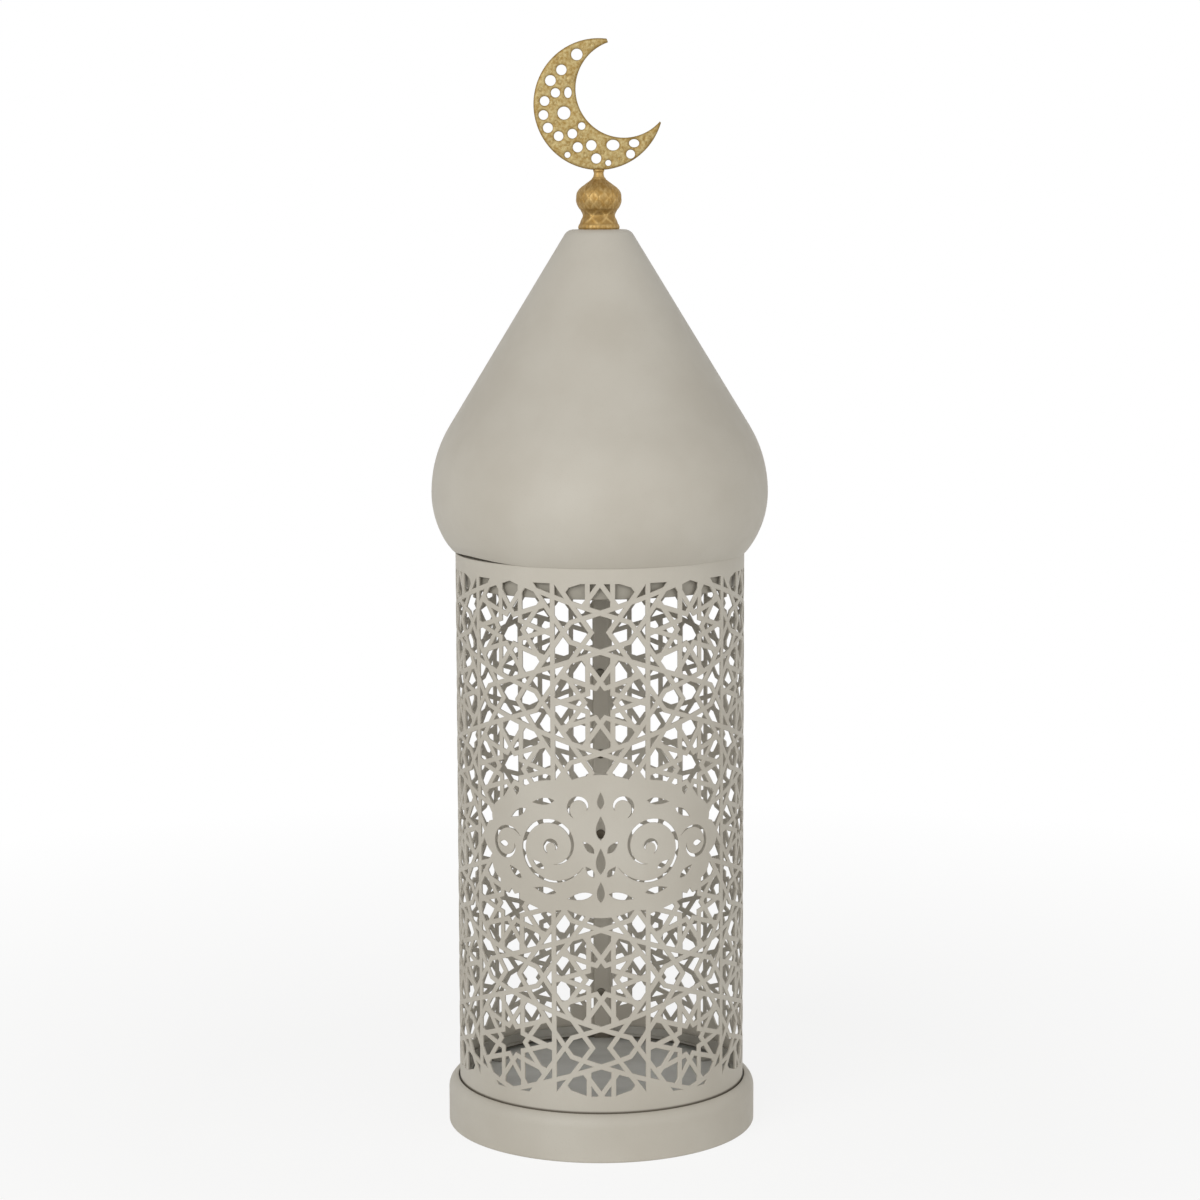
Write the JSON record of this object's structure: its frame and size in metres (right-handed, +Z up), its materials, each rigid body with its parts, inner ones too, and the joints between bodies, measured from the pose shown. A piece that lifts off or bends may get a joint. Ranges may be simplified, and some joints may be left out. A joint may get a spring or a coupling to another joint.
{
  "type": "metal candle lantern",
  "caption": "Free-standing round metal candle lantern: pierced star-lattice tube on a drum base, lift-off onion dome with a brass ball finial and a pierced crescent.",
  "frame": {"origin": "on the ground, at the centre of the base ring", "axes": "+Z up along the lantern's axis, -Y towards the front with the cartouche, +X to the right as seen from the front"},
  "size_m": [0.1858, 0.1858, 0.6033],
  "materials": {
    "powder_coat": "matte greige powder coat",
    "bare_steel": "bare mill-finish steel",
    "zinc_fastener": "bright zinc plate",
    "antique_brass": "cast and pierced brass, darkened in the hollows"
  },
  "bodies": {
    "lantern_body": {"base_drum": "powder_coat", "floor_pan": "bare_steel", "foot_ring": "bare_steel", "lattice_tube": "powder_coat", "seam_rivet_1": "bare_steel", "seam_rivet_2": "bare_steel", "seam_rivet_3": "bare_steel", "seam_rivet_4": "bare_steel", "seam_rivet_5": "bare_steel", "seam_rivet_6": "bare_steel", "tube_lug_1": "bare_steel", "tube_lug_2": "bare_steel", "tube_lug_3": "bare_steel", "lug_screw_1": "zinc_fastener", "lug_screw_2": "zinc_fastener", "lug_screw_3": "zinc_fastener", "lug_nut_1": "zinc_fastener", "lug_nut_2": "zinc_fastener", "lug_nut_3": "zinc_fastener"},
    "lid": {"dome": "powder_coat", "lid_collar": "powder_coat", "collar_rivet_1": "bare_steel", "collar_rivet_2": "bare_steel", "collar_rivet_3": "bare_steel", "collar_rivet_4": "bare_steel", "finial_ball": "antique_brass", "crescent_socket": "antique_brass", "crescent": "antique_brass", "finial_stud": "zinc_fastener", "stud_washer": "zinc_fastener", "stud_nut": "zinc_fastener"}
  },
  "joints": [
    {"name": "lid_lift", "type": "slide", "parent": "lantern_body", "child": "lid", "axis": [0, 0, 1], "range_m": [0, 0.12]}
  ]
}
